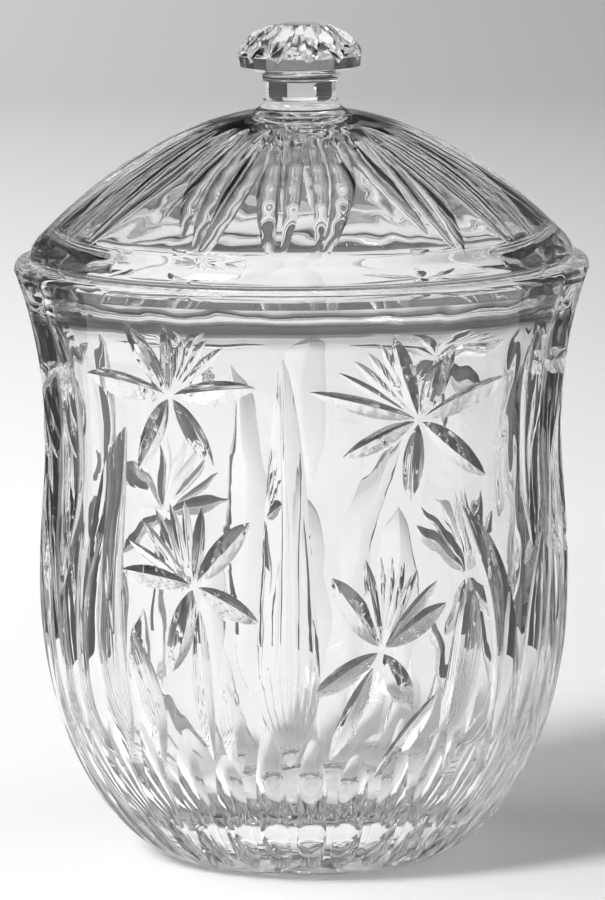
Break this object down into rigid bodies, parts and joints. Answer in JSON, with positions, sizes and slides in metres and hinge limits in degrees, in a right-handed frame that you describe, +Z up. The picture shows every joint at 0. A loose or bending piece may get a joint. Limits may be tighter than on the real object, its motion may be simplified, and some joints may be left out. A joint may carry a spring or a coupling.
{
  "type": "biscuit jar",
  "caption": "Pressed and cut clear crystal biscuit jar with a waisted round body and a domed lift-off lid that ends in a fluted knob.",
  "frame": {"origin": "on the jar's axis at the underside of its foot", "axes": "+Z up along the axis through the knob, the front panel pair faces -Y"},
  "size_m": [0.158, 0.158, 0.2299],
  "materials": {
    "crystal_jar": "clear colourless crystal, fire polished with bright polished cuts",
    "crystal_lid": "clear colourless crystal, fire polished with bright polished cuts"
  },
  "bodies": {
    "jar": {"jar": "crystal_jar"},
    "lid": {"lid": "crystal_lid"}
  },
  "joints": [
    {"name": "lid_lift", "type": "slide", "parent": "jar", "child": "lid", "axis": [0, 0, 1], "range_m": [0, 0.12]}
  ]
}
